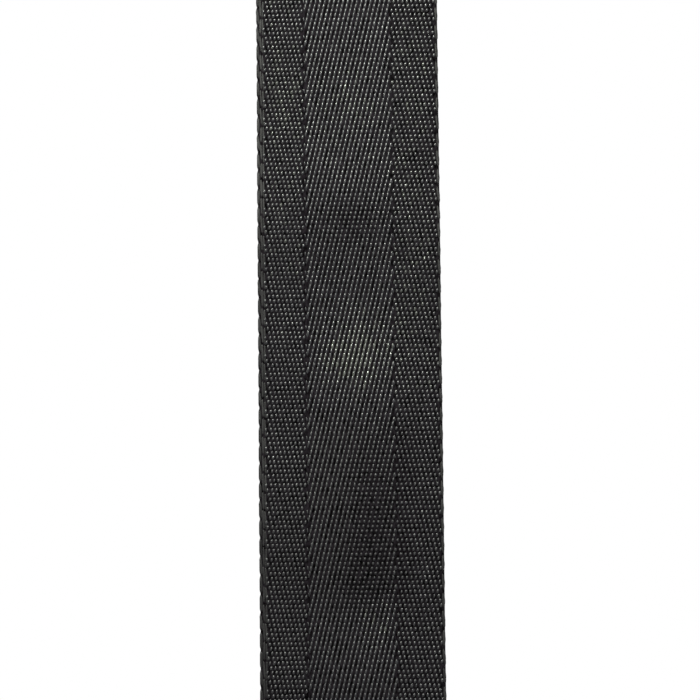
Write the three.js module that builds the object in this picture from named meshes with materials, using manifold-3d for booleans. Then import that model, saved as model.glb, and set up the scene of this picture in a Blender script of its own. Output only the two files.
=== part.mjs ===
// Guitar strap of 50 mm seat-belt webbing, hung over a peg at about mid length.
// Millimetres. X runs across the webbing, Z is up, and the front run faces -Y.
// The origin is on the inside of the bend, at its top, where the peg carries it.
import * as THREE from 'three';
import { mergeVertices } from 'three/addons/utils/BufferGeometryUtils.js';
import Module from 'manifold-3d';

const wasm = await Module();
wasm.setup();

// ---- driving dimensions ----
const WIDTH = 50;            // webbing, across
const THICK = 1.3;           // webbing, through
const GAP = 0.3;             // clearance between neighbouring solids
const BEND_R = 24;           // inside radius of the bend over the peg
const LEATHER = 2.2;         // one leather ply
const THREAD = 0.8;          // width of a sewn line
const THREAD_H = 0.4;        // and its height
const THREAD_GAP = 0.1;      // clearance under a sewn line
const GROOVE = { depth: 0.6, side: 0.3 };   // cut in the leather for a sewn line

const FRONT_TOP_OF_END = -262;   // where the front run enters end A
const SEWN_IN = 50;              // webbing inside a leather end
const SLIDE_Z = -400;            // centre bar of the slide, at rest
const RING_Z = -570;             // upper bar of the ring, at rest
const FRONT_STOP = -30;          // where the front run meets the bend
const MAIN_STOP = -55;           // where the sliding stretch of the back run starts

const SLIDE = {
  width: 60.5, bar: 4, slot: 10, slotWidth: 51.5, thick: 3, bevel: 0.7, cornerR: 3, slotR: 1.5,
};
const RING = { wire: 4.5, windowWidth: 52, windowHeight: 16, bevel: 1.5, cornerR: 5.5, windowR: 1.5 };
const END = { width: 56, length: 105, straight: 52, tipR: 17, cornerR: 5, bevel: 0.4 };
const END_PULL = { shoulder: 18, tip: 16 };   // how far the side's curve runs on at each end
const HOLE = { r: 4.5, slitHalf: 0.6, slitLength: 10 };
const CORE = { inset: 1.2, holeGrow: 0.5 };   // how far the core stays inside the plies
const EDGE_SEAM = 4;             // seam line in from the leather's edge
const BOX_SEAM = { width: 38, height: 34, top: 9 };
const BAR_SEAM = { width: 42, height: 16, top: 24 };
const FOLD_LENGTH = 46;          // short end of the fold on the slide's centre bar
const TURN_LEG = 6;              // legs of the turn round the ring's bar
const SPREAD = 30;               // length over which the loop opens to clear the ring
const CONNECTOR_NECK = 18;       // bar to where the connector's two layers meet
const CONNECTOR_LEG = 2;         // how far they run straight past the bar first
const PAST_SLIDE = 2;            // woven-in webbing above and below the slide
const CORNER_R = { fold: 1.1, slot: 1.6, leg: 4, neck: 12, spread: 40 };   // on centre lines
const CORNER_STEP = Math.PI / 22;   // largest turn between two points of a round corner

// ---- places worked out from them ----
const RUN_Y = BEND_R + THICK / 2;                   // centre line of each hanging run
const LAYER = THICK + GAP;                          // from one webbing layer to the next
const SLIDE_Y = RUN_Y + THICK / 2 + GAP + SLIDE.thick / 2;
const SLIDE_HALF_H = 1.5 * SLIDE.bar + SLIDE.slot;
const RING_Y = RUN_Y - LAYER / 2;                   // midway between the loop's layers
const RING_R = RING.wire / 2 + GAP + THICK / 2;     // centre line of webbing round a bar
const LOWER_Z = RING_Z - RING.windowHeight - RING.wire;
const END_B_TOP = LOWER_Z - CONNECTOR_NECK - CONNECTOR_LEG;

// ---- materials ----
function finish(color, roughness, metalness) {
  return new THREE.MeshStandardMaterial({ color, roughness, metalness });
}
const webbing = () => finish(0x222022, 0.7, 0);
const leather = () => finish(0x141212, 0.55, 0);
const coreBoard = () => finish(0x2b2623, 0.9, 0);
const thread = () => finish(0x1c1b1b, 0.6, 0);
const metal = () => finish(0xb9b7b2, 0.3, 1);

// ---- shared shapes ----

// A route of straight lines with round corners. Each point is [y, z, corner radius].
function rounded(points) {
  const route = [];
  const push = (p) => {
    if (!route.length || route[route.length - 1].distanceTo(p) > 1e-4) route.push(p);
  };
  points.forEach(([y, z, radius = 0], i) => {
    const here = new THREE.Vector2(y, z);
    if (!radius) return push(here);
    const before = new THREE.Vector2(...points[i - 1]).sub(here).normalize();
    const after = new THREE.Vector2(...points[i + 1]).sub(here).normalize();
    const half = before.angleTo(after) / 2;
    const centre = before.clone().add(after).normalize();
    centre.multiplyScalar(radius / Math.sin(half)).add(here);
    const first = before.clone().multiplyScalar(radius / Math.tan(half)).add(here);
    const turn = Math.PI - 2 * half;
    const sense = Math.sign(after.cross(before));
    const steps = Math.max(2, Math.ceil(turn / CORNER_STEP));
    for (let k = 0; k <= steps; k++) {
      push(first.clone().rotateAround(centre, sense * turn * k / steps));
    }
  });
  return route;
}

// A strip of webbing along a route in the YZ plane, centred on X = 0.
function strip(name, points) {
  const route = rounded(points);
  const sides = [[], []];
  route.forEach((p, i) => {
    const a = route[Math.max(i - 1, 0)];
    const b = route[Math.min(i + 1, route.length - 1)];
    const into = p.clone().sub(a).normalize();
    const out = b.clone().sub(p).normalize();
    const along = into.add(out).normalize();
    const bend = i && i < route.length - 1 ? along.dot(b.clone().sub(p).normalize()) : 1;
    const normal = new THREE.Vector2(-along.y, along.x).multiplyScalar(THICK / 2 / bend);
    sides[0].push(p.clone().add(normal));
    sides[1].unshift(p.clone().sub(normal));
  });
  const shape = new THREE.Shape([...sides[0], ...sides[1]]);
  const solid = new THREE.ExtrudeGeometry(shape, { depth: WIDTH, bevelEnabled: false });
  const mesh = new THREE.Mesh(solid, webbing());
  const axes = [[0, 1, 0], [0, 0, 1], [1, 0, 0]].map((v) => new THREE.Vector3(...v));
  mesh.quaternion.setFromRotationMatrix(new THREE.Matrix4().makeBasis(...axes));
  mesh.position.x = -WIDTH / 2;
  mesh.name = name;
  return mesh;
}

// A flat plate in the XZ plane. Its shape's origin goes to Z = z, and it fills
// thick from the face at Y = y towards the side that facing says, -1 or +1.
function plate(name, shape, thick, y, z, facing, bevel, material) {
  const solid = new THREE.ExtrudeGeometry(shape, {
    depth: thick - 2 * bevel,
    curveSegments: 6,
    bevelEnabled: bevel > 0,
    bevelThickness: bevel,
    bevelSize: bevel,
    bevelOffset: -bevel,
    bevelSegments: bevel > 1 ? 3 : 1,
  });
  const mesh = new THREE.Mesh(solid, material);
  mesh.rotation.x = Math.PI / 2;
  mesh.position.set(0, facing < 0 ? y - bevel : y + thick - bevel, z);
  mesh.name = name;
  return mesh;
}

// A rectangle with round corners, centred on (x, y).
function roundedBox(path, width, height, radius, y = 0) {
  const [w, h] = [width / 2 - radius, height / 2 - radius];
  path.absarc(w, y + h, radius, 0, Math.PI / 2, false);
  path.absarc(-w, y + h, radius, Math.PI / 2, Math.PI, false);
  path.absarc(-w, y - h, radius, Math.PI, 1.5 * Math.PI, false);
  path.absarc(w, y - h, radius, 1.5 * Math.PI, 2 * Math.PI, false);
  path.closePath();
  return path;
}

// The outline of a leather end, its top edge at 0 and its round tip downwards.
// inset draws the same outline further in, for seam lines and the core.
function endOutline(path, inset, top = -inset) {
  const half = END.width / 2 - inset;
  const tip = END.tipR - inset;
  const tipY = END.tipR - END.length;
  const corner = Math.max(END.cornerR - inset, 1);
  const shoulder = Math.min(-END.straight, top - corner - 1);
  path.absarc(half - corner, top - corner, corner, 0, Math.PI / 2, false);
  path.absarc(corner - half, top - corner, corner, Math.PI / 2, Math.PI, false);
  path.lineTo(-half, shoulder);
  const upper = shoulder - END_PULL.shoulder;
  const lower = tipY + END_PULL.tip;
  path.bezierCurveTo(-half, upper, -tip, lower, -tip, tipY);
  path.absarc(0, tipY, tip, Math.PI, 2 * Math.PI, false);
  path.bezierCurveTo(tip, lower, half, upper, half, shoulder);
  path.closePath();
  return path;
}

// The button hole, round, with a slit that runs up towards the webbing.
function keyhole(grow = 0) {
  const r = HOLE.r + grow;
  const y = END.tipR - END.length;
  const side = HOLE.slitHalf + grow;
  const open = Math.asin(side / r);
  const path = new THREE.Path();
  path.absarc(0, y, r, Math.PI / 2 + open, 2.5 * Math.PI - open, false);
  path.absarc(0, y + HOLE.r + HOLE.slitLength, side, 0, Math.PI, false);
  path.closePath();
  return path;
}

// ---- cutting ----

// A mesh as a solid, in the frame that it stands in.
function toSolid(mesh) {
  mesh.updateMatrix();
  const bare = mesh.geometry.clone().applyMatrix4(mesh.matrix);
  bare.deleteAttribute('normal');
  bare.deleteAttribute('uv');
  const { attributes, index } = mergeVertices(bare, 1e-4);
  return new wasm.Manifold(new wasm.Mesh({
    numProp: 3,
    vertProperties: attributes.position.array,
    triVerts: new Uint32Array(index.array),
  }));
}

// Takes the cutters out of a mesh.
function carve(mesh, cutters) {
  const solid = cutters.reduce((left, cutter) => left.subtract(toSolid(cutter)), toSolid(mesh));
  const { vertProperties, triVerts } = solid.getMesh();
  const geometry = new THREE.BufferGeometry();
  geometry.setAttribute('position', new THREE.BufferAttribute(vertProperties, 3));
  geometry.setIndex(new THREE.BufferAttribute(triVerts, 1));
  geometry.applyMatrix4(mesh.matrix.clone().invert());
  geometry.computeVertexNormals();
  mesh.geometry = geometry;
  return mesh;
}

// ---- one leather end: two plies, what is between them, and the seams ----

// A line round the leather's edge, as wide as a thread plus grow on each side.
function edgeLine(grow = 0) {
  const shape = endOutline(new THREE.Shape(), EDGE_SEAM - THREAD / 2 - grow);
  shape.holes.push(endOutline(new THREE.Path(), EDGE_SEAM + THREAD / 2 + grow));
  return shape;
}

function leatherEnd(name, y, top, inside) {
  const group = new THREE.Group();
  const plyY = inside / 2 + GAP;                 // from the middle to a ply's inner face
  const grooveY = plyY + LEATHER - GROOVE.depth;
  for (const [side, facing] of [['outer', Math.sign(y)], ['inner', -Math.sign(y)]]) {
    const ply = endOutline(new THREE.Shape(), 0);
    ply.holes.push(keyhole());
    const at = (distance) => y + facing * distance;
    const leatherPly = plate(`${name}_leather_${side}`, ply, LEATHER, at(plyY), top, facing,
      END.bevel, leather());
    const wide = [edgeLine(GROOVE.side), crossedBox(BOX_SEAM, GROOVE.side)];
    const grooves = wide.map((shape) => plate('', shape, 2 * GROOVE.depth, at(grooveY), top,
      facing, 0, null));
    group.add(carve(leatherPly, grooves));
    const seamY = at(grooveY + THREAD_GAP);
    group.add(plate(`${name}_edge_stitch_${side}`, edgeLine(), THREAD_H, seamY, top, facing,
      0, thread()));
    group.add(plate(`${name}_box_stitch_${side}`, crossedBox(BOX_SEAM), THREAD_H, seamY, top,
      facing, 0, thread()));
  }
  const core = endOutline(new THREE.Shape(), CORE.inset, -SEWN_IN - GAP);
  core.holes.push(keyhole(CORE.holeGrow));
  group.add(plate(`${name}_core`, core, inside, y - inside / 2, top, 1, 0, coreBoard()));
  return group;
}

// A sewn rectangle with both diagonals, as one line of thread with grow on each side.
function crossedBox({ width, height, top }, grow = 0) {
  const [w, h] = [width / 2, height / 2];
  const half = THREAD / 2 + grow;
  const middle = -top - h;
  const shape = new THREE.Shape();
  roundedBox(shape, width + 2 * half, height + 2 * half, half, middle);
  const slope = Math.hypot(w, h);
  const nearX = half * slope / h;                // the diagonals' half width along X
  const nearY = half * slope / w;                // and along Y
  const cutX = w - half;
  const cutY = h - half;
  const atX = cutX * h / w - nearY;              // where a diagonal meets the upright
  const atY = cutY * w / h - nearX;              // where it meets the level side
  for (const s of [-1, 1]) {
    shape.holes.push(new THREE.Path([[s * nearX, 0], [s * cutX, atX], [s * cutX, -atX]]
      .map(([x, y]) => new THREE.Vector2(x, y + middle))));
    shape.holes.push(new THREE.Path([[0, s * nearY], [atY, s * cutY], [-atY, s * cutY]]
      .map(([x, y]) => new THREE.Vector2(x, y + middle))));
  }
  return shape;
}

const group = new THREE.Group();

// ---- webbing that hangs from the peg ----
const bendTop = THICK / 2;
group.add(strip('webbing_front_run', [
  [-RUN_Y, FRONT_TOP_OF_END - SEWN_IN],
  [-RUN_Y, FRONT_STOP - GAP],
]));
group.add(strip('webbing_bend', [
  [-RUN_Y, FRONT_STOP],
  [-RUN_Y, bendTop, RUN_Y],
  [RUN_Y, bendTop, RUN_Y],
  [RUN_Y, MAIN_STOP],
]));
group.add(leatherEnd('end_a', -RUN_Y, FRONT_TOP_OF_END, THICK));

// ---- slide, and the webbing in and on it ----
const slideTop = SLIDE_HALF_H + PAST_SLIDE;
group.add(strip('webbing_above_slide', [
  [RUN_Y, MAIN_STOP - GAP],
  [RUN_Y, SLIDE_Z + slideTop + GAP],
]));

const plateShape = roundedBox(new THREE.Shape(), SLIDE.width, 2 * SLIDE_HALF_H, SLIDE.cornerR);
for (const side of [-1, 1]) {
  const slotZ = side * (SLIDE.bar + SLIDE.slot) / 2;
  plateShape.holes.push(
    roundedBox(new THREE.Path(), SLIDE.slotWidth, SLIDE.slot, SLIDE.slotR, slotZ));
}
group.add(plate('slide_frame', plateShape, SLIDE.thick, SLIDE_Y - SLIDE.thick / 2, SLIDE_Z, 1,
  SLIDE.bevel, metal()));

// Distances from the middle of the centre bar.
const barY = SLIDE.thick / 2 + GAP + THICK / 2;  // fold's centre line beside the bar
const barZ = SLIDE.bar / 2 + GAP + THICK / 2;    // and over it
const humpY = barY + LAYER;                      // webbing that crosses outside the fold
const slotEdge = SLIDE.bar / 2 + SLIDE.slot;
const humpZ = 3.3;                               // half the height of that crossing
const crossZ = slotEdge - 0.7;                   // where it is behind the outer bars
const foldLeaves = { outer: -2.3, inner: -2.5 }; // where the fold turns away from the bar
const foldMeets = { outer: 1.6 - slotEdge, inner: 2 - slotEdge };
const at = (dy, dz, radius = 0) => [SLIDE_Y + dy, SLIDE_Z + dz, radius];

group.add(strip('webbing_through_slide', [
  at(-barY, slideTop),
  at(-barY, crossZ, CORNER_R.slot),
  at(humpY, humpZ, CORNER_R.slot),
  at(humpY, -humpZ, CORNER_R.slot),
  at(-barY, -crossZ, CORNER_R.slot),
  at(-barY, -slideTop),
]));
group.add(strip('webbing_bar_fold', [
  at(-barY - 2 * LAYER, -FOLD_LENGTH),
  at(-barY - 2 * LAYER, foldMeets.inner, CORNER_R.slot),
  at(-barY, foldLeaves.inner, CORNER_R.slot),
  at(-barY, barZ, CORNER_R.fold),
  at(barY, barZ, CORNER_R.fold),
  at(barY, foldLeaves.outer, CORNER_R.slot),
  at(-barY - LAYER, foldMeets.outer, CORNER_R.slot),
  at(-barY - LAYER, -FOLD_LENGTH),
]));
group.add(plate('bar_fold_stitch', crossedBox(BAR_SEAM), THREAD_H,
  SLIDE_Y - barY - 2 * LAYER - THICK / 2 - THREAD_GAP, SLIDE_Z, -1, 0, thread()));

// ---- the loop from the slide to the ring, and the turn round the ring's bar ----
const legTop = RING_Z + TURN_LEG;
group.add(strip('webbing_loop_outer', [
  [RUN_Y, SLIDE_Z - slideTop - GAP],
  [RUN_Y, legTop + SPREAD, CORNER_R.spread],
  [RING_Y + RING_R, legTop + GAP],
]));
group.add(strip('webbing_loop_inner', [
  [RUN_Y - LAYER, SLIDE_Z - FOLD_LENGTH - GAP],
  [RUN_Y - LAYER, legTop + SPREAD, CORNER_R.spread],
  [RING_Y - RING_R, legTop + GAP],
]));
group.add(strip('webbing_ring_turn', [
  [RING_Y + RING_R, legTop],
  [RING_Y + RING_R, RING_Z - RING_R, RING_R],
  [RING_Y - RING_R, RING_Z - RING_R, RING_R],
  [RING_Y - RING_R, legTop],
]));

const ringShape = roundedBox(new THREE.Shape(), RING.windowWidth + 2 * RING.wire,
  RING.windowHeight + 2 * RING.wire, RING.cornerR);
ringShape.holes.push(
  roundedBox(new THREE.Path(), RING.windowWidth, RING.windowHeight, RING.windowR));
group.add(plate('rectangular_ring', ringShape, RING.wire, RING_Y - RING.wire / 2,
  (RING_Z + LOWER_Z) / 2, 1, RING.bevel, metal()));

// ---- end B, on its own short loop of webbing through the ring ----
const pairY = LAYER / 2;                         // the two layers, side by side
group.add(strip('connector_webbing', [
  [RING_Y - pairY, END_B_TOP - SEWN_IN],
  [RING_Y - pairY, LOWER_Z - CONNECTOR_NECK, CORNER_R.neck],
  [RING_Y - RING_R, LOWER_Z - CONNECTOR_LEG, CORNER_R.leg],
  [RING_Y - RING_R, LOWER_Z + RING_R, RING_R],
  [RING_Y + RING_R, LOWER_Z + RING_R, RING_R],
  [RING_Y + RING_R, LOWER_Z - CONNECTOR_LEG, CORNER_R.leg],
  [RING_Y + pairY, LOWER_Z - CONNECTOR_NECK, CORNER_R.neck],
  [RING_Y + pairY, END_B_TOP - SEWN_IN],
]));
group.add(leatherEnd('end_b', RING_Y, END_B_TOP, 2 * THICK + GAP));

export default group;
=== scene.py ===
"""A guitar strap of black seat-belt webbing, hung over a peg. Metres, Z up, X across the webbing.

The webbing follows one route in the YZ plane: up the front run, over the peg, down the back run, through
the slide, round the ring's upper bar and back up to the slide's centre bar. Its floats are real geometry.
"""
import math

import bpy
import bmesh
import numpy as np
from mathutils import Matrix, Vector


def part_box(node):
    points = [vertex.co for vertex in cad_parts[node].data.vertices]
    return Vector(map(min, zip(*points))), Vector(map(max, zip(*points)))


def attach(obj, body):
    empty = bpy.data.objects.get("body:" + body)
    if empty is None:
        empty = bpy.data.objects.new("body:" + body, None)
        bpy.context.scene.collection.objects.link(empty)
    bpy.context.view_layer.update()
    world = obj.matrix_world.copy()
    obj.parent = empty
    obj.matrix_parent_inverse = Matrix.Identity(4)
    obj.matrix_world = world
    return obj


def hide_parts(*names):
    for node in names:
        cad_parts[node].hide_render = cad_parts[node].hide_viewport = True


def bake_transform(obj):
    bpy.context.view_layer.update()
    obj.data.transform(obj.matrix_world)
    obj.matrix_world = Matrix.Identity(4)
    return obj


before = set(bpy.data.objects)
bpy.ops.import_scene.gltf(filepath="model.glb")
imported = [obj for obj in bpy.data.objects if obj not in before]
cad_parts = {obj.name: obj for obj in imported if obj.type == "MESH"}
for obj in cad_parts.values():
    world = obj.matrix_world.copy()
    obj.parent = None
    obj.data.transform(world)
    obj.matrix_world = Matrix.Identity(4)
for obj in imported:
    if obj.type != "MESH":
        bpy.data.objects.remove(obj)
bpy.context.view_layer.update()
rng = np.random.default_rng(7)

MM = 0.001

# ---------------------------------------------------------------- sizes, from the frame
front_lo, front_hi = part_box("webbing_front_run")
bend_lo, bend_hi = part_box("webbing_bend")
slide_lo, slide_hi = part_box("slide_frame")
ring_lo, ring_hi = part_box("rectangular_ring")
above_lo, above_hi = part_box("webbing_above_slide")
through_lo, through_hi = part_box("webbing_through_slide")

WIDTH = bend_hi.x - bend_lo.x
THICK = above_hi.y - above_lo.y
GAP = 0.3 * MM
LAYER = THICK + GAP
RUN_Y = bend_hi.y - THICK / 2
SLIDE_Y = (slide_lo.y + slide_hi.y) / 2
SLIDE_Z = (slide_lo.z + slide_hi.z) / 2
SLIDE_THICK = slide_hi.y - slide_lo.y
RING_Y = (ring_lo.y + ring_hi.y) / 2
WIRE = ring_hi.y - ring_lo.y
RING_Z = ring_hi.z - WIRE / 2
LOWER_Z = ring_lo.z + WIRE / 2
RING_R = WIRE / 2 + GAP + THICK / 2
LEG_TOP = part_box("webbing_ring_turn")[1].z
FOLD_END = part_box("webbing_bar_fold")[0].z
CONNECTOR_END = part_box("connector_webbing")[0].z

# ---------------------------------------------------------------- the weave, in metres
PICK = 1.254 * MM           # from one row of floats to the next
CYCLE = 4                   # rows before the pattern repeats
BASE_HALF = 0.39 * MM       # half the thickness of the ground under the floats
RELIEF = 0.31 * MM          # how far a float stands off the ground
SUNK = 0.06 * MM            # and how far it goes into it
NOTCH = {"deep": 0.24 * MM, "wide": 0.62 * MM, "phase": 0.3}   # in the left selvage
SWELL = {"high": 0.12 * MM, "wide": 0.8 * MM}                  # of the right one
JITTER = {"half": 0.07, "lean": 0.04, "row": 0.03 * MM, "tone": 0.15, "long": 0.05}   # random part

# Kinds of float: half their width and length, their lean, and their height as a share of RELIEF
SIDE = {"half": 0.42 * MM, "long": 0.69 * MM, "lean": 0.17, "high": 1.0}
LINE = {"half": 0.38 * MM, "long": 1.02 * MM, "lean": 0.17, "high": 1.0}
STROKE = {"half": 0.40 * MM, "long": 2.65 * MM, "lean": -0.05, "high": 0.5}
STRAND = {"half": 0.36 * MM, "long": 3.1 * MM, "lean": -0.03, "high": 0.22}
FILL = {"half": 0.24 * MM, "long": 0.70 * MM, "lean": -0.12, "high": 0.55}
KINDS = (SIDE, LINE, STROKE, STRAND, FILL)

# Across the webbing, in mm: first float, pitch, how many, step from row to row, limits, kind, strength
BANDS = (
    (2.00, 0, 1, 0.36, 0, 4, SIDE, 0.8),                  # beside the left selvage
    (3.36, 1.147, 9, 0.287, 0, 12.8, SIDE, 1.08),         # left band, lines falling to the right
    (14.55, 1.264, 19, -0.316, 13.4, 36.9, LINE, 0.93),   # middle band, lines falling to the left
    (37.35, 1.215, 10, 0.304, 37, 47, SIDE, 1.15),        # right band, as the left one
    (37.35, 1.215, 10, 0.304, 47, 48.9, SIDE, 0.65),      # and its dimmer end
)
# Once in each repeat, at one of its rows: x in mm, how many rows further on, kind, strength
EXTRAS = {
    0: ((13.35, 0.5, FILL, 0.6), (0.50, -1.3, STROKE, 0.6), (1.84, 0.4, STRAND, 0.6),
        (49.5, -1.0, STROKE, 0.8)),
    2: ((13.1, 0.2, FILL, 0.6), (1.20, -1.3, STRAND, 0.9), (36.95, 0, FILL, 0.8)),
}


def rounded(points, step=math.radians(4)):
    """Straight lines with round corners through [y, z, corner radius] points."""
    route = []
    for i, (y, z, *rest) in enumerate(points):
        here = Vector((y, z))
        radius = rest[0] if rest else 0
        if not radius:
            route.append(here)
            continue
        before = (Vector(points[i - 1][:2]) - here).normalized()
        after = (Vector(points[i + 1][:2]) - here).normalized()
        half = before.angle(after) / 2
        centre = here + (before + after).normalized() * (radius / math.sin(half))
        first = here + before * (radius / math.tan(half)) - centre
        turn = math.pi - 2 * half
        sense = math.copysign(1, after.x * before.y - after.y * before.x)
        count = max(2, math.ceil(turn / step))
        for k in range(count + 1):
            a = sense * turn * k / count
            c, s = math.cos(a), math.sin(a)
            route.append(centre + Vector((first.x * c - first.y * s, first.x * s + first.y * c)))
    return route


class Route:
    """A path in the YZ plane that gives points by their length along it."""

    def __init__(self, points):
        p = np.array([tuple(v) for v in rounded(points)])
        keep = np.r_[True, np.hypot(*np.diff(p, axis=0).T) > 1e-7]
        self.p = p[keep]
        d = np.diff(self.p, axis=0)
        size = np.hypot(*d.T)
        self.s = np.r_[0, np.cumsum(size)]
        t = d / size[:, None]
        mid = np.r_[t[:1], t[:-1] + t[1:], t[-1:]]
        self.t = mid / np.hypot(*mid.T)[:, None]

    def length(self):
        return self.s[-1]

    def cross(self, z, n):
        """Length at which the path meets level z for the nth time."""
        side = np.sign(self.p[:, 1] - z)
        at = np.nonzero(side[:-1] * side[1:] < 0)[0][n - 1]
        share = (z - self.p[at, 1]) / (self.p[at + 1, 1] - self.p[at, 1])
        return self.s[at] + share * (self.s[at + 1] - self.s[at])

    def place(self, x, s, h):
        """Points x across, s along and h off the middle, h positive on the outer face."""
        y, z = (np.interp(s, self.s, self.p[:, k]) for k in (0, 1))
        ty, tz = (np.interp(s, self.s, self.t[:, k]) for k in (0, 1))
        size = np.hypot(ty, tz)
        past = np.clip(s, None, 0) + np.clip(s - self.s[-1], 0, None)
        return np.stack([x, y - tz / size * h + ty * past, z + ty / size * h + tz * past], axis=-1)


# ---------------------------------------------------------------- the route of the webbing
SLIDE_BAR = 4 * MM
SLOT = {"width": 51.5 * MM, "height": 10 * MM, "corner": 1.5 * MM}
SLOT_EDGE = SLIDE_BAR / 2 + SLOT["height"]                # from the middle of the centre bar
BAR_Y = SLIDE_THICK / 2 + GAP + THICK / 2                 # webbing beside the centre bar
BAR_Z = SLIDE_BAR / 2 + GAP + THICK / 2                   # and over it
HUMP_Z = 3.3 * MM                                         # half the height of the crossing outside it
CROSS_Z = SLOT_EDGE - 0.7 * MM                            # where the webbing is behind the outer bars
FOLD_LEAVES = {"outer": -2.3 * MM, "inner": -2.5 * MM}    # where the fold turns away from the bar
FOLD_MEETS = {"outer": 1.6 * MM - SLOT_EDGE, "inner": 2 * MM - SLOT_EDGE}
FOLD_Y = SLIDE_Y - BAR_Y - 2 * LAYER                      # the fold's short end
SPREAD = 30 * MM                                          # where the loop opens to clear the ring
NECK_Z = LOWER_Z - 18 * MM                                # where the connector's two layers meet
LEG_Z = LOWER_Z - 2 * MM                                  # and where they start to close in
CORNER = {"fold": 1.1 * MM, "slot": 1.6 * MM, "leg": 4 * MM, "neck": 12 * MM, "spread": 40 * MM}


def at_slide(dy, dz, radius):
    """A point of the route, measured from the middle of the slide's centre bar."""
    return SLIDE_Y + dy, SLIDE_Z + dz, radius


strap = Route([
    (-RUN_Y, front_lo.z),
    (-RUN_Y, THICK / 2, RUN_Y),
    (RUN_Y, THICK / 2, RUN_Y),
    at_slide(-BAR_Y, CROSS_Z, CORNER["slot"]),
    at_slide(BAR_Y + LAYER, HUMP_Z, CORNER["slot"]),
    at_slide(BAR_Y + LAYER, -HUMP_Z, CORNER["slot"]),
    at_slide(-BAR_Y, -CROSS_Z, CORNER["slot"]),
    (RUN_Y, LEG_TOP + SPREAD, CORNER["spread"]),
    (RING_Y + RING_R, LEG_TOP, CORNER["spread"] / 2),
    (RING_Y + RING_R, RING_Z - RING_R, RING_R),
    (RING_Y - RING_R, RING_Z - RING_R, RING_R),
    (RING_Y - RING_R, LEG_TOP, CORNER["spread"] / 2),
    (RUN_Y - LAYER, LEG_TOP + SPREAD, CORNER["spread"]),
    at_slide(-BAR_Y - LAYER, FOLD_MEETS["outer"], CORNER["slot"]),
    at_slide(BAR_Y, FOLD_LEAVES["outer"], CORNER["slot"]),
    at_slide(BAR_Y, BAR_Z, CORNER["fold"]),
    at_slide(-BAR_Y, BAR_Z, CORNER["fold"]),
    at_slide(-BAR_Y, FOLD_LEAVES["inner"], CORNER["slot"]),
    at_slide(-BAR_Y - 2 * LAYER, FOLD_MEETS["inner"], CORNER["slot"]),
    (FOLD_Y, FOLD_END),
])
connector = Route([
    (RING_Y - LAYER / 2, CONNECTOR_END),
    (RING_Y - LAYER / 2, NECK_Z, CORNER["neck"]),
    (RING_Y - RING_R, LEG_Z, CORNER["leg"]),
    (RING_Y - RING_R, LOWER_Z + RING_R, RING_R),
    (RING_Y + RING_R, LOWER_Z + RING_R, RING_R),
    (RING_Y + RING_R, LEG_Z, CORNER["leg"]),
    (RING_Y + LAYER / 2, NECK_Z, CORNER["neck"]),
    (RING_Y + LAYER / 2, CONNECTOR_END),
])


# ---------------------------------------------------------------- mesh helpers
def new_mesh(name, verts, *face_sets):
    """A smooth mesh object from points and arrays of faces, one array for each number of corners."""
    me = bpy.data.meshes.new(name)
    verts = np.asarray(verts, np.float32)
    sets = [np.asarray(f, np.int32) for f in face_sets if len(f)]
    corners = np.concatenate([np.full(len(f), f.shape[1], np.int32) for f in sets])
    me.vertices.add(len(verts))
    me.vertices.foreach_set("co", verts.ravel())
    me.loops.add(int(corners.sum()))
    me.loops.foreach_set("vertex_index", np.concatenate([f.ravel() for f in sets]))
    me.polygons.add(len(corners))
    me.polygons.foreach_set("loop_start", np.r_[0, np.cumsum(corners)[:-1]].astype(np.int32))
    me.polygons.foreach_set("use_smooth", np.full(len(corners), True))
    me.update(calc_edges=True)
    me.validate()
    ob = bpy.data.objects.new(name, me)
    bpy.context.collection.objects.link(ob)
    return ob


def point_values(ob, name, values):
    attribute = ob.data.attributes.new(name, "FLOAT", "POINT")
    attribute.data.foreach_set("value", np.asarray(values, np.float32))


def float_shell(across, along):
    """A closed half-round float: points (u, v, w) with v from -1 to 1 along it, quads and triangles."""
    points = []
    for v in np.linspace(-1, 1, along + 2)[1:-1]:
        slim, rise = math.sqrt(1 - abs(v) ** 2.4), math.sqrt(1 - v * v)
        for a in np.linspace(math.pi, 0, across):
            points.append((math.cos(a) * slim, v, math.sin(a) * rise))
    quads, tris = [], []
    for k in range(along - 1):
        for j in range(across):
            a, b = k * across + j, k * across + (j + 1) % across
            quads.append((a, b, b + across, a + across))
    last = (along - 1) * across
    for j in range(across):
        tris.append(((j + 1) % across, j, len(points)))
        tris.append((last + j, last + (j + 1) % across, len(points) + 1))
    points += [(0, -1, 0), (0, 1, 0)]
    return np.array(points), np.array(quads), np.array(tris)


def copies(shell, count, flipped):
    """Face arrays for count copies of a shell whose points follow one another, turned over if flipped."""
    points, quads, tris = shell
    offset = (np.arange(count) * len(points))[:, None, None]
    order = slice(None, None, -1 if flipped else 1)
    return [(faces[None, :, order] + offset).reshape(-1, faces.shape[1]) for faces in (quads, tris)]


FINE = float_shell(5, 4)
COARSE = float_shell(4, 3)
THREAD_SHELL = float_shell(7, 6)


# ---------------------------------------------------------------- where the floats lie
def weave_floats(k0, k1):
    """The floats of rows k0 to k1 on one face: x, row, shape, strength and whether in the selvage."""
    out = []
    for k in range(k0, k1):
        r = (-k) % CYCLE                      # steps down through one repeat
        for first, pitch, count, step, low, high, kind, strength in BANDS:
            for n in range(count):
                x = first + pitch * n + step * r
                if low < x < high:
                    out.append((x, k, KINDS.index(kind), strength))
        for x, further, kind, strength in EXTRAS.get(r, ()):
            out.append((x, k + further, KINDS.index(kind), strength))
    x, row, kind, strength = np.array(out).T
    kind = kind.astype(int)
    shape = np.array([[q["half"], q["long"], q["lean"], q["high"]] for q in KINDS])[kind]
    edge = np.isin(kind, (KINDS.index(STROKE), KINDS.index(STRAND)))
    return x * MM - WIDTH / 2, row, shape, strength, edge


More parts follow.
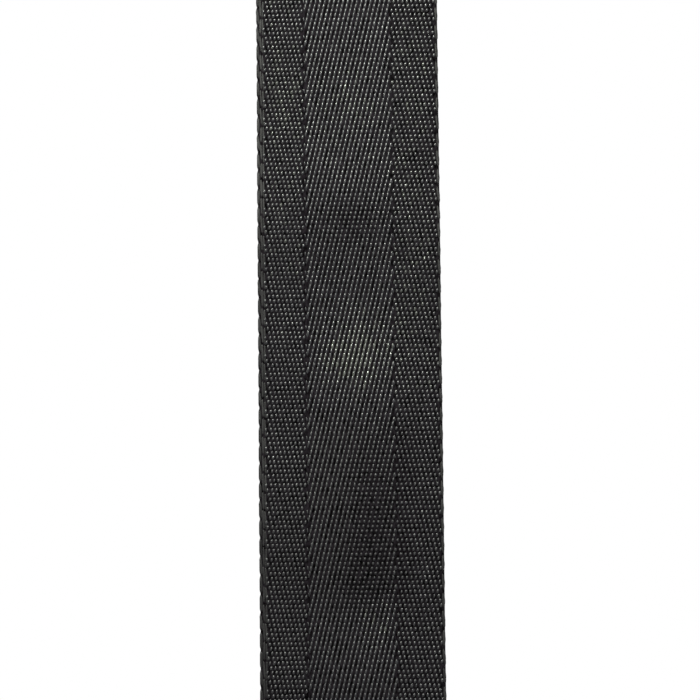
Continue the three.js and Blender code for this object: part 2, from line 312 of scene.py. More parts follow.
# Soft round patches of painted highlight and shade, in mm: x from the middle, length along the strap,
# half width, half length, height
HIGHLIGHT_PATCHES = (              # painted highlight: lighter, glossier floats
    (0, 250, 10, 11, 0.7), (0.5, 180, 8, 8, 1.1), (6, 108, 5, 8, 1.5), (20, 262, 8, 26, 0.3),
)
# Painted shade: darker, rougher floats
SHADED_PATCHES = (
    (0, 282, 12, 14, 0.3), (0, 216, 12, 10, 0.5), (0, 156, 11, 9, 0.45), (0, 128, 14, 22, 0.5),
    (-20, 125, 12, 45, 0.4), (20, 120, 9, 40, 0.15), (-7, 146, 7, 14, 0.28),
)
BROKEN = (                # where the floats are shorter, so that their lines break up into dots
    (6, 137, 8, 21, 0.5), (3, 118, 8, 9, 0.35), (1, 217, 10, 7, 0.35),
)
MOST_BROKEN = 0.5         # share of its length that a float loses at most
PAINTED_FALLOFF = (85, 180, 260), (0.74, 0.86, 1.0)           # painted shade towards the bottom, rougher there too: length along the strap in mm, and the factor


def patches(table, x, s):
    """The sum of a table's patches at x across and s along the webbing."""
    x, s = x / MM, s / MM
    return sum(high * np.exp(-((x - x0) / w) ** 2 - ((s - s0) / h) ** 2)
               for x0, s0, w, h, high in table)


def painted_light(x, s):
    """The painted light on the floats at a place, about 1 on most of the webbing: higher lightens them
    and makes them glossier, lower darkens them and makes them rougher.
    """
    return np.interp(s / MM, *PAINTED_FALLOFF) + patches(HIGHLIGHT_PATCHES, x, s) - patches(SHADED_PATCHES, x, s)


HELD = {"below": 0.065, "above": 0.30, "ease": 0.05}      # lengths along the strap, in metres


def ripple(x, s):
    """How far the hung webbing stands off its plane, in metres. It dies out where the webbing is held."""
    slack = (np.clip((s - HELD["below"]) / HELD["ease"], 0, 1)
             * np.clip((HELD["above"] - s) / HELD["ease"], 0, 1))
    slack = slack * slack * (3 - 2 * slack)
    along = 0.42 * np.sin(88 * s + 1.2) + 0.22 * np.sin(151 * s + 40 * x + 0.4)     # in mm
    across = 0.25 * np.cos(math.pi * x / WIDTH) * np.sin(47 * s + 2.1)
    return slack * (along + across) * MM


COLUMNS = 18                                  # points across each face of the ground
EDGE_STEPS = 5                                # and round each selvage


def ground(name, route, s0, s1, step):
    """The closed strip under the floats, between lengths s0 and s1 of a route."""
    rows = max(2, round((s1 - s0) / step)) + 1
    s = np.linspace(s0, s1, rows)
    half = WIDTH / 2 - BASE_HALF
    flat = np.linspace(-half, half, COLUMNS)
    bow = np.linspace(math.pi / 2, -math.pi / 2, EDGE_STEPS + 2)[1:-1]
    edge_x, edge_h = half + np.cos(bow) * BASE_HALF, np.sin(bow) * BASE_HALF
    ring_x = np.r_[flat, edge_x, -flat, -edge_x]
    ring_h = np.r_[np.full(COLUMNS, BASE_HALF), edge_h, np.full(COLUMNS, -BASE_HALF), -edge_h]
    n = len(ring_x)
    phase = ((s / (CYCLE * PICK) + NOTCH["phase"]) % 1 - 0.5) * CYCLE * PICK
    notch = NOTCH["deep"] * np.exp(-(phase / NOTCH["wide"]) ** 2)
    swell = SWELL["high"] * (1 - np.exp(-((abs(phase) - 2 * PICK) / SWELL["wide"]) ** 2))
    near_left = np.clip(1 + (-ring_x - half) / BASE_HALF, 0, 1)
    near_right = np.clip(1 + (ring_x - half) / BASE_HALF, 0, 1)
    x = ring_x + near_left * notch[:, None] - near_right * swell[:, None]
    ss = np.repeat(s[:, None], n, axis=1)
    h = ring_h + ripple(x, ss)
    i, j = np.meshgrid(np.arange(rows - 1), np.arange(n), indexing="ij")
    a, b = (i * n + j).ravel(), (i * n + (j + 1) % n).ravel()
    walls = np.stack([a, b, b + n, a + n], axis=1)
    caps = np.array([np.arange(n)[::-1], np.arange(n) + (rows - 1) * n])
    ob = new_mesh(name, route.place(x, ss, h).reshape(-1, 3), walls, caps)
    point_values(ob, "tone", np.zeros(rows * n))
    return ob


def floats(name, route, s0, s1, shell, side):
    """The raised floats on one side of the same stretch, each a closed shell sunk a little into the
    ground. Only the outer face of the strap itself has painted highlight and shade and broken lines."""
    points = shell[0]
    rows = weave_floats(math.floor(s0 / PICK) - 1, math.ceil(s1 / PICK) + 1)
    inside = (rows[1] * PICK >= s0) & (rows[1] * PICK < s1)
    x, row, shape, strength, edge = (q[inside] for q in rows)
    s = row * PICK
    draws = rng.normal(0, 1, (len(JITTER), len(x)))
    vary = {key: spread * draw for (key, spread), draw in zip(JITTER.items(), draws)}
    strap_outer = side > 0 and route is strap
    cut = np.minimum(patches(BROKEN, x, s), MOST_BROKEN) if strap_outer else 0
    half = (shape[:, 0] * (1 + vary["half"]))[:, None]
    long = (shape[:, 1] * (1 - cut) * (1 + vary["long"]))[:, None]
    lean = (shape[:, 2] + vary["lean"])[:, None]
    u, v, w = points.T
    px = x[:, None] + u * half + v * long * lean
    ps = (s + vary["row"])[:, None] + v * long
    ph = BASE_HALF - SUNK + w * (RELIEF * shape[:, 3:4] + SUNK)
    place = route.place(px, ps, side * ph + ripple(px, ps))
    ob = new_mesh(name, place.reshape(-1, 3), *copies(shell, len(x), side < 0))
    # Painted light: the tone, and so the colour, rises in the highlight patches and falls in the shade
    # patches and towards the bottom
    light_factor = painted_light(x, s) if strap_outer else 1
    point_values(ob, "tone", np.repeat(strength * light_factor * (1 + vary["tone"]), len(points)))
    ob.data.materials.append(YARN)
    ob.data.materials.append(SELVAGE)
    slots = np.concatenate([np.repeat(edge, len(faces)) for faces in shell[1:]])
    ob.data.polygons.foreach_set("material_index", slots.astype(np.int32))
    return ob


# ---------------------------------------------------------------- plates with worked edges
def slab(name, loops, origin, facing):
    """A plate in the XZ plane. Each loop is (outline function, [(inset, height), ...]), and its profile
    runs from the back face round the edge to the front face. Height is along Y, times facing."""
    verts, walls, front, back = [], [], [], []
    count = 0
    for outline, profile in loops:
        rings = [outline(inset) for inset, _ in profile]
        n = len(rings[0])
        for ring, (_, height) in zip(rings, profile):
            verts.append(np.stack([ring[:, 0], np.full(n, facing * height), ring[:, 1]], axis=1))
        k, j = np.meshgrid(np.arange(len(profile) - 1), np.arange(n), indexing="ij")
        a, b = (k * n + j).ravel() + count, (k * n + (j + 1) % n).ravel() + count
        walls.append(np.stack([a, b, b + n, a + n], axis=1))
        back.append(np.arange(n) + count)
        front.append(np.arange(n) + count + (len(profile) - 1) * n)
        count += n * len(profile)
    ob = new_mesh(name, np.concatenate(verts) + np.array(origin), np.concatenate(walls))
    bm = bmesh.new()
    bm.from_mesh(ob.data)
    bm.verts.ensure_lookup_table()
    for rim in (front, back):
        edges = []
        for ids in rim:
            for a, b in zip(ids, np.roll(ids, -1)):
                edges.append(bm.edges.get((bm.verts[a], bm.verts[b])))
        bmesh.ops.triangle_fill(bm, edges=edges, use_beauty=True)
    bmesh.ops.recalc_face_normals(bm, faces=bm.faces)
    bm.to_mesh(ob.data)
    bm.free()
    ob.data.polygons.foreach_set("use_smooth", [True] * len(ob.data.polygons))
    return ob


def arc(x, y, r, a0, a1, count):
    """Points round a centre from angle a0 to a1, in degrees."""
    a = np.radians(np.linspace(a0, a1, count))
    return np.stack([x + r * np.cos(a), y + r * np.sin(a)], axis=1)


def bezier(p0, p1, p2, p3, count):
    t = np.linspace(0, 1, count)[:, None]
    p0, p1, p2, p3 = map(np.array, (p0, p1, p2, p3))
    return (1 - t) ** 3 * p0 + 3 * t * (1 - t) ** 2 * p1 + 3 * t * t * (1 - t) * p2 + t ** 3 * p3


def straight(p, q, count):
    """The points between p and q, without them."""
    return np.linspace(p, q, count + 2)[1:-1]


# A leather end: half its width, length, radius of its tip, where its sides start to curve, corners
END_W, END_L, END_TIP, END_SHOULDER, END_CORNER = 28 * MM, 105 * MM, 17 * MM, 52 * MM, 5 * MM
END_PULL = {"shoulder": 18 * MM, "tip": 16 * MM}          # how far the side's curve runs on at each end
LEAST_CORNER = 0.6 * MM
HOLE_R, SLIT_HALF, SLIT_L = 4.5 * MM, 0.6 * MM, 10 * MM
CORE_HOLE_GROW = 0.5 * MM
SEWN_IN = 50 * MM                                         # webbing inside the leather
PLY = 2.2 * MM
ROUND = {"back": 0.3 * MM, "rim": 0.8 * MM, "hole": 0.6 * MM, "board": 0.2 * MM}
SEAM_INSET = 4 * MM
SEAM_SUNK = {"edge": 0.30 * MM, "box": 0.08 * MM, "bar": 0.05 * MM}
BOX_SEAM = {"width": 38 * MM, "height": 34 * MM, "top": 9 * MM}
BAR_SEAM = {"width": 42 * MM, "height": 16 * MM, "top": 24 * MM}
CREASE = (                  # the face by the edge seam, in mm: past the seam line, off the face
    (-1.0, 0), (-0.55, -0.22), (0, -0.34), (0.55, -0.22), (1.0, 0), (2.2, 0.12), (4.0, 0.16),
)


def end_outline(inset):
    """The leather end's outline, its top edge at 0 and its tip downwards, drawn inset further in."""
    w, tip = END_W - inset, END_TIP - inset
    c = max(END_CORNER - inset, LEAST_CORNER)
    tip_y, top, shoulder = END_TIP - END_L, -inset, -END_SHOULDER
    up, low = shoulder - END_PULL["shoulder"], tip_y + END_PULL["tip"]
    return np.concatenate([
        arc(w - c, top - c, c, 0, 90, 7), straight((w - c, top), (c - w, top), 24),
        arc(c - w, top - c, c, 90, 180, 7), straight((-w, top - c), (-w, shoulder), 16),
        bezier((-w, shoulder), (-w, up), (-tip, low), (-tip, tip_y), 18)[:-1],
        arc(0, tip_y, tip, 180, 360, 36)[:-1],
        bezier((tip, tip_y), (tip, low), (w, up), (w, shoulder), 18),
        straight((w, shoulder), (w, top - c), 16)])


def hole_outline(grow):
    """The button hole's outline, with its slit upwards, drawn larger by grow."""
    r, side = HOLE_R + grow, SLIT_HALF + grow
    y = END_TIP - END_L
    open_angle = math.degrees(math.asin(side / r))
    join = y + r * math.cos(math.radians(open_angle))
    top = y + HOLE_R + SLIT_L
    return np.concatenate([
        arc(0, y, r, 90 + open_angle, 450 - open_angle, 40),
        straight((side, join), (side, top), 6), arc(0, top, side, 0, 180, 9),
        straight((-side, top), (-side, join), 6)])


def core_outline(inset):
    """The filler between the plies: their outline with a notch in its top for the webbing."""
    inner, deep = WIDTH / 2 + GAP + inset, -SEWN_IN - GAP - inset
    c = END_CORNER - inset
    top = -inset - c + math.sqrt(c * c - (inner - END_W + END_CORNER) ** 2)
    full, outer = end_outline(0), end_outline(inset)
    outside = np.nonzero((abs(full[:, 0]) > WIDTH / 2 + 2 * GAP) | (full[:, 1] < -END_CORNER))[0]
    split = np.nonzero(np.diff(outside) > 1)[0][0] + 1
    order = np.r_[outside[split:], outside[:split]]
    return np.concatenate([
        [(inner, top)], straight((inner, top), (inner, deep), 12), [(inner, deep)],
        straight((inner, deep), (-inner, deep), 12), [(-inner, deep)],
        straight((-inner, deep), (-inner, top), 12), [(-inner, top)], outer[order]])


def soft_edge(h0, h1, r0, r1):
    """Profile of a plate's rim from its back face, r0 round, to its front face, r1 round."""
    quarter = np.radians(np.linspace(0, 90, 5))
    back = [(r0 * (1 - math.sin(a)), h0 + r0 * (1 - math.cos(a))) for a in quarter]
    front = [(r1 * (1 - math.cos(a)), h1 - r1 * (1 - math.sin(a))) for a in quarter]
    return back + front


# ---------------------------------------------------------------- sewn lines
STITCH = {"pitch": 3.4 * MM, "half": 0.36 * MM, "long": 1.45 * MM, "high": 0.42 * MM, "sunk": 0.12 * MM}
STITCH_TURN, STITCH_SWAY = 0.12, 0.03                     # radians off the line, and its random part
STITCH_REACH = 0.3                                        # of the pitch, where its direction is taken


def stitches(name, lines, origin, facing, height):
    """One shell for each stitch, along lines of points in the XZ plane at that height on a face."""
    places = []
    for line in lines:
        step = np.hypot(*np.diff(line, axis=0).T)
        s = np.r_[0, np.cumsum(step)]
        count = max(1, round(s[-1] / STITCH["pitch"]))
        mids = (np.arange(count) + 0.5) * s[-1] / count
        reach = STITCH_REACH * STITCH["pitch"]
        back, ahead = (np.stack([np.interp(mids + d, s, line[:, k]) for k in (0, 1)], axis=1)
                       for d in (-reach, reach))
        along = (ahead - back) / np.hypot(*(ahead - back).T)[:, None]
        places.append(np.hstack([(back + ahead) / 2, along]))
    places = np.concatenate(places)
    u, v, w = THREAD_SHELL[0].T
    turn = STITCH_TURN + rng.normal(0, STITCH_SWAY, len(places))
    tx = places[:, 2] * np.cos(turn) - places[:, 3] * np.sin(turn)
    tz = places[:, 2] * np.sin(turn) + places[:, 3] * np.cos(turn)
    across, along = u * STITCH["half"], v * STITCH["long"]
    px = places[:, :1] + tx[:, None] * along + tz[:, None] * across
    pz = places[:, 1:2] + tz[:, None] * along - tx[:, None] * across
    rise = height - STITCH["sunk"] + w * (STITCH["high"] + STITCH["sunk"])
    py = np.broadcast_to(facing * rise, px.shape)
    verts = np.stack([px, py, pz], axis=-1).reshape(-1, 3) + np.array(origin)
    return new_mesh(name, verts, *copies(THREAD_SHELL, len(places), facing > 0))


def crossed_box(width, height, top):
    """A sewn rectangle below top with both its diagonals."""
    w, z0, z1 = width / 2, -top, -top - height
    rim = np.array([(w, z0), (-w, z0), (-w, z1), (w, z1), (w, z0)])
    return [rim[k:k + 2] for k in range(4)] + [rim[[0, 2]], rim[[1, 3]]]


# ---------------------------------------------------------------- materials
def shader(name, base=None, rough=0.5, metal=0.0, specular=0.5):
    """A new material, with functions that add a node, wire a socket to an input of its Principled
    shader, and wire a bump to it. The bump's distance is in mm."""
    mat = bpy.data.materials.new(name)
    mat.use_nodes = True
    nodes, links = mat.node_tree.nodes, mat.node_tree.links
    bsdf = nodes["Principled BSDF"]
    bsdf.inputs["Roughness"].default_value = rough
    bsdf.inputs["Metallic"].default_value = metal
    bsdf.inputs["Specular IOR Level"].default_value = specular
    if base:
        bsdf.inputs["Base Color"].default_value = (*base, 1)

    def add(kind, inputs=(), **settings):
        node = nodes.new(kind)
        for key, value in settings.items():
            setattr(node, key, value)
        for key, value in dict(inputs).items():
            if isinstance(value, bpy.types.NodeSocket):
                links.new(value, node.inputs[key])
            else:
                node.inputs[key].default_value = value
        return node

    def wire(key, socket):
        links.new(socket, bsdf.inputs[key])

    def emboss(height, strength, distance):
        bump = add("ShaderNodeBump", {"Height": height, "Strength": strength, "Distance": distance * MM})
        wire("Normal", bump.outputs[0])

    return mat, add, wire, emboss


def object_place(add):
    return add("ShaderNodeTexCoord").outputs["Object"]


def noise(add, scale, stretch=(1, 1, 1), detail=3.0):
    """Noise with scale spots to the metre, drawn out along an axis by stretch."""
    mapping = add("ShaderNodeMapping", {"Vector": object_place(add), "Scale": stretch})
    spots = add("ShaderNodeTexNoise", {"Vector": mapping.outputs[0], "Scale": scale, "Detail": detail})
    return spots.outputs["Fac"]


def ramp(add, value, *stops):
    """A colour for a value, between stops of (value, colour)."""
    node = add("ShaderNodeValToRGB", {"Fac": value})
    while len(node.color_ramp.elements) < len(stops):
        node.color_ramp.elements.new(0.5)
    for element, (at, colour) in zip(node.color_ramp.elements, stops):
        element.position = at
        element.color = (*colour, 1)
    return node.outputs[0]


def grey(level):
    return level, level, level


def rescale(add, value, low, high, to_low, to_high):
    """A value that runs from low to high, made to run from to_low to to_high."""
    return add("ShaderNodeMapRange", {"Value": value, "From Min": low, "From Max": high,
                                      "To Min": to_low, "To Max": to_high}).outputs[0]


def combine(add, operation, a, b):
    return add("ShaderNodeMath", {0: a, 1: b}, operation=operation).outputs[0]


def webbing_material():
    """Black polyester yarn; its colour follows the tone, a painted highlight where high and painted shade
    where low.
    """
    mat, add, wire, emboss = shader("webbing_yarn")
    tone = add("ShaderNodeAttribute", attribute_name="tone").outputs["Fac"]
    wear = rescale(add, noise(add, 28, (1, 1, 0.6), 2), 0.3, 0.7, 0.72, 1.28)
    fleck = rescale(add, noise(add, 900, (1, 1, 0.6), 2), 0.3, 0.7, 0.6, 1.4)
    level = combine(add, "MULTIPLY", combine(add, "MULTIPLY", tone, wear), fleck)
    half = combine(add, "MULTIPLY", level, 0.5)
    # Painted light: a high tone gives a lighter, warmer colour as a painted highlight, and a low tone a
    # darker one as painted shade
    wire("Base Color", ramp(add, half, (0.0, (0.0030, 0.0026, 0.0036)), (0.5, (0.0140, 0.0133, 0.0158)),
                            (1.0, (0.044, 0.046, 0.041))))
    wire("Roughness", ramp(add, half, (0.1, grey(0.5)), (0.4, grey(0.31)), (0.9, grey(0.20))))
    emboss(noise(add, 9000, (1, 1, 0.1), 2), 0.35, 0.04)
    return mat


def selvage_material():
    """The yarn of the selvage: the same black, but matt."""
    mat, add, wire, emboss = shader("webbing_selvage", rough=0.6, specular=0.22)
    strands = noise(add, 1300, (1, 1, 0.12), 2)
    wire("Base Color", ramp(add, strands, (0.35, (0.0022, 0.0019, 0.0023)),
                            (0.65, (0.0110, 0.0104, 0.0110))))
    emboss(strands, 0.5, 0.06)
    return mat


def gap_material():
    """The ground between the floats: the same yarn, painted very dark and barely shiny as painted shade
    between the floats.
    """
    mat, add, wire, emboss = shader("webbing_ground", rough=0.9, specular=0.02)
    spots = noise(add, 1500, (1, 1, 0.5), 3)
    wire("Base Color", ramp(add, spots, (0.35, (0.0003, 0.0002, 0.0003)),
                            (0.65, (0.0082, 0.0068, 0.0086))))
    emboss(spots, 0.5, 0.08)
    return mat


def leather_material():
    """Black bridle leather: fine grain, faint creases and slightly burnished edges."""
    mat, add, wire, emboss = shader("leather_black", specular=0.35)
    mottle = noise(add, 60, detail=4)
    colour = ramp(add, mottle, (0.3, (0.0075, 0.0070, 0.0066)), (0.7, (0.015, 0.0139, 0.0131)))
    edge = add("ShaderNodeNewGeometry").outputs["Pointiness"]
    rubbed = ramp(add, edge, (0.52, grey(0)), (0.6, grey(1)))
    mix = add("ShaderNodeMix", {0: rubbed, 6: colour, 7: (0.034, 0.030, 0.027, 1)}, data_type="RGBA")
    wire("Base Color", mix.outputs[2])
    wire("Roughness", rescale(add, mottle, 0.3, 0.7, 0.34, 0.54))
    cells = add("ShaderNodeTexVoronoi", {"Vector": object_place(add), "Scale": 850},
                feature="DISTANCE_TO_EDGE")
    crease = ramp(add, cells.outputs["Distance"], (0.0, grey(0)), (0.12, grey(1)))
    emboss(combine(add, "ADD", crease, noise(add, 2600, detail=4)), 0.8, 0.12)
    return mat


def thread_material():
    """Waxed bonded thread with its twist."""
    mat, add, wire, emboss = shader("waxed_thread", rough=0.42)
    wave = add("ShaderNodeTexWave", {"Vector": object_place(add), "Scale": 620, "Distortion": 1.2},
               bands_direction="DIAGONAL")
    lay = wave.outputs["Fac"]
    wire("Base Color", ramp(add, lay, (0.2, (0.018, 0.017, 0.016)), (0.8, (0.065, 0.060, 0.056))))
    emboss(lay, 0.6, 0.08)
    return mat


def core_material():
    """The dyed edge of the board between the plies."""
    mat, add, wire, emboss = shader("core_board", rough=0.75, specular=0.3)
    fibre = noise(add, 1500, (1, 4, 1), 4)
    wire("Base Color", ramp(add, fibre, (0.3, (0.020, 0.015, 0.012)), (0.7, (0.050, 0.038, 0.030))))
    emboss(fibre, 0.5, 0.1)
    return mat


def metal_material():
    """Satin nickel plate, brushed across, with fine handling marks."""
    mat, add, wire, emboss = shader("satin_nickel", metal=1.0)
    brushed = noise(add, 1400, (0.04, 1, 1), 3)
    marks = noise(add, 130, detail=5)
    wire("Base Color", ramp(add, marks, (0.3, (0.31, 0.305, 0.295)), (0.7, (0.42, 0.41, 0.395))))
    wire("Roughness", rescale(add, combine(add, "ADD", brushed, marks), 0.7, 1.3, 0.20, 0.38))
    emboss(brushed, 0.12, 0.03)
    return mat


def floor_material():
    """Matt pale paint with a glow that only the camera sees, so that the ground looks plain white."""
    mat, add, wire, _ = shader("floor_paint", (0.55, 0.55, 0.545), 0.9, specular=0.1)
    mat.node_tree.nodes["Principled BSDF"].inputs["Emission Color"].default_value = (1, 1, 0.99, 1)
    seen = add("ShaderNodeLightPath").outputs["Is Camera Ray"]
    wire("Emission Strength", combine(add, "MULTIPLY", seen, 0.75))
    return mat


YARN = webbing_material()
SELVAGE = selvage_material()
SHADE = gap_material()
LEATHER = leather_material()
WAXED = thread_material()
BOARD = core_material()
NICKEL = metal_material()


def dress(ob, material):
    ob.data.materials.append(material)
    return ob


# ---------------------------------------------------------------- webbing pieces
def hang_on(ob, bodies):
    """Rides on one body; with two, it stays where it is with its transform baked in."""
    if len(bodies) == 1:
        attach(ob, bodies[0])
    else:
        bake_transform(ob)


def webbing(node, route, s0, s1, bodies, shells=(COARSE, COARSE), step=PICK, parts=1):
    """One stretch of webbing: its ground and the floats on its two faces."""
    z0, z1 = (np.interp(s, route.s, route.p[:, 1]) for s in (s0, s1))
    base = dress(ground(f"{node}_ground", route, s0, s1, step), SHADE)
    cuts = np.linspace(s0, s1, parts + 1)
    pieces = []
    for side, face, shell in ((1, "outer", shells[0]), (-1, "inner", shells[1])):
        for k in range(parts):
            label = f"{node}_{face}_floats" + (f"_{k + 1}" if parts > 1 else "")
            piece = floats(label, route, cuts[k], cuts[k + 1], shell, side)
            pieces.append(piece)
    for ob in (base, *pieces):
        hang_on(ob, bodies)
    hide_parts(node)


front_stop = strap.cross(front_hi.z + GAP / 2, 1)
main_stop = strap.cross(above_hi.z + GAP / 2, 2)
slide_in = strap.cross(through_hi.z + GAP / 2, 1)
slide_out = strap.cross(through_lo.z - GAP / 2, 1)
turn_in = strap.cross(LEG_TOP + GAP / 2, 1)
turn_out = strap.cross(LEG_TOP + GAP / 2, 2)
fold_in = strap.cross(FOLD_END - GAP / 2, 2)

shown = (FINE, COARSE)      # shells where the outer face is seen from near
webbing("webbing_front_run", strap, 0, front_stop, ["strap"], shown, PICK / 3, 2)
webbing("webbing_bend", strap, front_stop, main_stop, ["strap"], shown, PICK / 3)
webbing("webbing_above_slide", strap, main_stop, slide_in, ["strap", "slide"], parts=2)
webbing("webbing_through_slide", strap, slide_in, slide_out, ["slide"], step=PICK / 3)
webbing("webbing_loop_outer", strap, slide_out, turn_in, ["slide", "turn"])
webbing("webbing_ring_turn", strap, turn_in, turn_out, ["turn"], step=PICK / 3)
webbing("webbing_loop_inner", strap, turn_out, fold_in, ["turn", "slide"])
webbing("webbing_bar_fold", strap, fold_in, strap.length(), ["slide"], step=PICK / 4)
webbing("connector_webbing", connector, 0, connector.length(), ["end_b"], step=PICK / 3)


# ---------------------------------------------------------------- leather ends
def leather_end(end, y, top, body, inside):
    """Two plies with a sunk seam line, the board between them, and the sewing."""
    origin, outward = (0, y, top), math.copysign(1, y)
    h0, h1 = inside / 2 + GAP, inside / 2 + GAP + PLY
    crease = [(SEAM_INSET + past * MM, h1 + off * MM) for past, off in CREASE]
    h_mid = crease[-1][1]
    rim = soft_edge(h0, h1, ROUND["back"], ROUND["rim"]) + crease
    hole = [(-i, h) for i, h in soft_edge(h0, h_mid, ROUND["back"], ROUND["hole"])]
    line = end_outline(SEAM_INSET)
    seams = (("edge", [np.vstack([line, line[:1]])], h1 - SEAM_SUNK["edge"]),
             ("box", crossed_box(**BOX_SEAM), h_mid - SEAM_SUNK["box"]))
    for side, facing in (("outer", outward), ("inner", -outward)):
        ply = slab(f"{end}_ply_{side}", [(end_outline, rim), (lambda i: hole_outline(-i), hole)],
                   origin, facing)
        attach(dress(ply, LEATHER), body)
        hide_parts(f"{end}_leather_{side}")
        for kind, lines, height in seams:
            sewn = stitches(f"{end}_{kind}_stitches_{side}", lines, origin, facing, height)
            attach(dress(sewn, WAXED), body)
            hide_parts(f"{end}_{kind}_stitch_{side}")
    board_rim = soft_edge(-inside / 2, inside / 2, ROUND["board"], ROUND["board"])
    board_hole = [(0, -inside / 2), (0, inside / 2)]
    board = slab(f"{end}_board", [(core_outline, board_rim),
                                  (lambda i: hole_outline(CORE_HOLE_GROW - i), board_hole)], origin, 1)
    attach(dress(board, BOARD), body)
    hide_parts(f"{end}_core")


leather_end("end_a", -RUN_Y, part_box("end_a_leather_outer")[1].z, "strap", THICK)
leather_end("end_b", RING_Y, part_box("end_b_leather_outer")[1].z, "end_b", 2 * THICK + GAP)
fold_seam = stitches("bar_fold_stitches", crossed_box(**BAR_SEAM), (0, FOLD_Y, SLIDE_Z), -1,
                     THICK / 2 - SEAM_SUNK["bar"])
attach(dress(fold_seam, WAXED), "slide")
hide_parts("bar_fold_stitch")


# ---------------------------------------------------------------- metal parts
SLIDE_CORNER, RING_CORNER = 3 * MM, 3.2 * MM
LEAST_BEND = 0.3 * MM                                     # radius that a corner keeps at least
PLATE_ROUND, SLOT_ROUND = 0.9 * MM, 0.7 * MM


def box_outline(width, height, radius, middle=0.0, grow=1):
    """A rectangle with round corners, as a function of how far it is drawn in (grow 1) or out (-1)."""
    def outline(inset):
        w, h = width / 2 - grow * inset, height / 2 - grow * inset
        r = max(radius - grow * inset, LEAST_BEND)
        corners = [arc(sx * (w - r), middle + sz * (h - r), r, a, a + 90, 10)
                   for sx, sz, a in ((1, 1, 0), (-1, 1, 90), (-1, -1, 180), (1, -1, 270))]
        sides = [straight(c[-1], n[0], 14) for c, n in zip(corners, corners[1:] + corners[:1])]
        return np.concatenate([part for pair in zip(corners, sides) for part in pair])
    return outline


slide_w, slide_h = slide_hi.x - slide_lo.x, slide_hi.z - slide_lo.z
rounding = soft_edge(-SLIDE_THICK / 2, SLIDE_THICK / 2, PLATE_ROUND, PLATE_ROUND)
slot_round = soft_edge(-SLIDE_THICK / 2, SLIDE_THICK / 2, SLOT_ROUND, SLOT_ROUND)
loops = [(box_outline(slide_w, slide_h, SLIDE_CORNER), rounding)]
for side in (-1, 1):
    middle = side * (SLIDE_BAR + SLOT["height"]) / 2
    loops.append((box_outline(SLOT["width"], SLOT["height"], SLOT["corner"], middle, -1), slot_round))
slide = slab("slide_plate", loops, (0, SLIDE_Y, SLIDE_Z), 1)
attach(dress(slide, NICKEL), "slide")
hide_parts("slide_frame")


def wire_loop(name, width, height, radius, wire, origin, sides=20):
    """A round wire bent into a rectangle, given by its centre line."""
    line = box_outline(width, height, radius)(0)
    ahead = np.roll(line, -1, axis=0) - np.roll(line, 1, axis=0)
    out = np.stack([ahead[:, 1], -ahead[:, 0]], axis=1) / np.hypot(*ahead.T)[:, None]
    a = np.linspace(0, 2 * math.pi, sides, endpoint=False)
    r = wire / 2
    x = line[:, :1] + out[:, :1] * np.cos(a) * r
    z = line[:, 1:] + out[:, 1:] * np.cos(a) * r
    y = np.broadcast_to(np.sin(a) * r, x.shape)
    n = len(line)
    i, j = np.meshgrid(np.arange(n), np.arange(sides), indexing="ij")
    i2, j2 = (i + 1) % n, (j + 1) % sides
    faces = np.stack([i * sides + j, i * sides + j2, i2 * sides + j2, i2 * sides + j], axis=-1)
    verts = np.stack([x, y, z], axis=-1).reshape(-1, 3) + np.array(origin)
    return new_mesh(name, verts, faces.reshape(-1, 4))


ring_w, ring_h = ring_hi.x - ring_lo.x - WIRE, ring_hi.z - ring_lo.z - WIRE
ring = wire_loop("ring_wire", ring_w, ring_h, RING_CORNER, WIRE, (0, RING_Y, (RING_Z + LOWER_Z) / 2))
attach(dress(ring, NICKEL), "ring")
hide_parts("rectangular_ring")

# ---------------------------------------------------------------- floor, camera and light
FLOOR_SIZE, FLOOR_Z = 16, -0.835
bpy.ops.mesh.primitive_plane_add(size=FLOOR_SIZE, location=(0, 0, FLOOR_Z))
floor = bpy.context.object
floor.name = "floor"
floor.data.materials.append(floor_material())

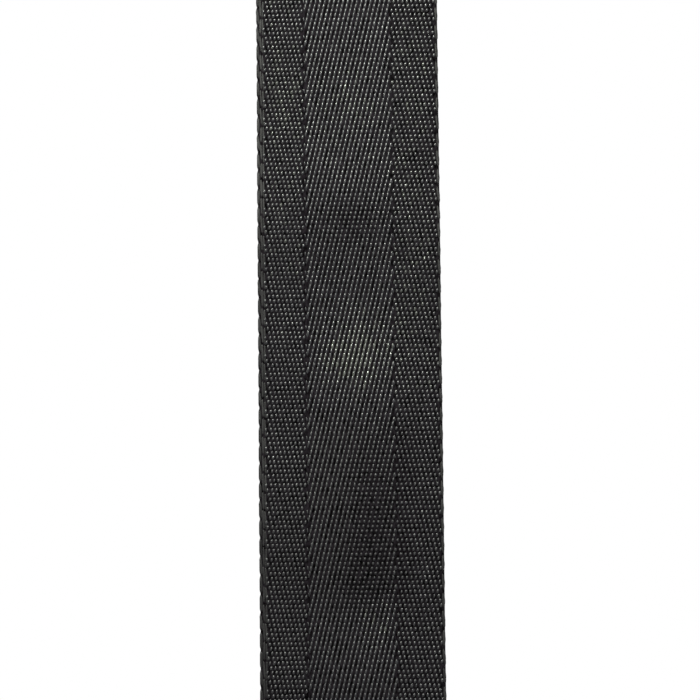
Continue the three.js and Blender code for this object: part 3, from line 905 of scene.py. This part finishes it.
CAMERA_DISTANCE = 0.6
AIM = Vector((0, -RUN_Y - THICK / 2, -0.130))
LOOK_UP = math.radians(5.2)
ROLL = math.radians(0.55)
SENSOR, FOCAL_LENGTH = 36, 113.6                          # in mm
lens = bpy.data.cameras.new("camera")
lens.sensor_width, lens.lens = SENSOR, FOCAL_LENGTH
camera = bpy.data.objects.new("camera", lens)
bpy.context.collection.objects.link(camera)
bpy.context.scene.camera = camera
back = Vector((0, -math.cos(LOOK_UP), -math.sin(LOOK_UP)))
camera.location = AIM + back * CAMERA_DISTANCE
camera.rotation_mode = "QUATERNION"
spin = Matrix.Rotation(-ROLL, 3, back)
camera.rotation_quaternion = (spin @ (-back).to_track_quat("-Z", "Y").to_matrix()).to_quaternion()


def lamp(name, place, aim, size, watts, colour):
    """A soft square area light that the camera doesn't see."""
    light = bpy.data.lights.new(name, "AREA")
    light.shape, light.size, light.energy, light.color = "SQUARE", size, watts, colour
    ob = bpy.data.objects.new(name, light)
    bpy.context.collection.objects.link(ob)
    ob.location = place
    ob.rotation_mode = "QUATERNION"
    ob.rotation_quaternion = (Vector(aim) - Vector(place)).to_track_quat("-Z", "Y")
    ob.visible_camera = False


lamp("key", (-0.14, -0.42, 0.26), (0, -0.02, -0.12), 0.10, 8.1, (0.95, 1.0, 0.88))
lamp("far_key", (-0.9, -1.7, 0.8), (0, 0, -0.35), 0.6, 18, (1.0, 0.98, 0.95))
lamp("fill", (1.2, -1.6, 0.3), (0, 0, -0.3), 0.9, 14, (0.95, 0.97, 1.0))
lamp("back_left", (-1.3, 1.6, 0.6), (0, 0, -0.35), 0.9, 24, (1, 1, 1))
lamp("back_right", (1.5, 1.4, -0.1), (0, 0, -0.4), 0.9, 16, (1, 0.98, 0.96))


def studio():
    """A world that is white to the camera and lights the object only softly."""
    world = bpy.data.worlds.new("studio")
    world.use_nodes = True
    nodes, links = world.node_tree.nodes, world.node_tree.links
    soft, white = nodes["Background"], nodes.new("ShaderNodeBackground")
    for light, strength in ((soft, 0.25), (white, 1.0)):
        light.inputs["Color"].default_value = (1, 1, 1, 1)
        light.inputs["Strength"].default_value = strength
    seen, mixer = nodes.new("ShaderNodeLightPath"), nodes.new("ShaderNodeMixShader")
    links.new(seen.outputs["Is Camera Ray"], mixer.inputs[0])
    links.new(soft.outputs[0], mixer.inputs[1])
    links.new(white.outputs[0], mixer.inputs[2])
    links.new(mixer.outputs[0], nodes["World Output"].inputs["Surface"])
    return world


bpy.context.scene.world = studio()
bpy.context.scene.view_settings.view_transform = "Standard"
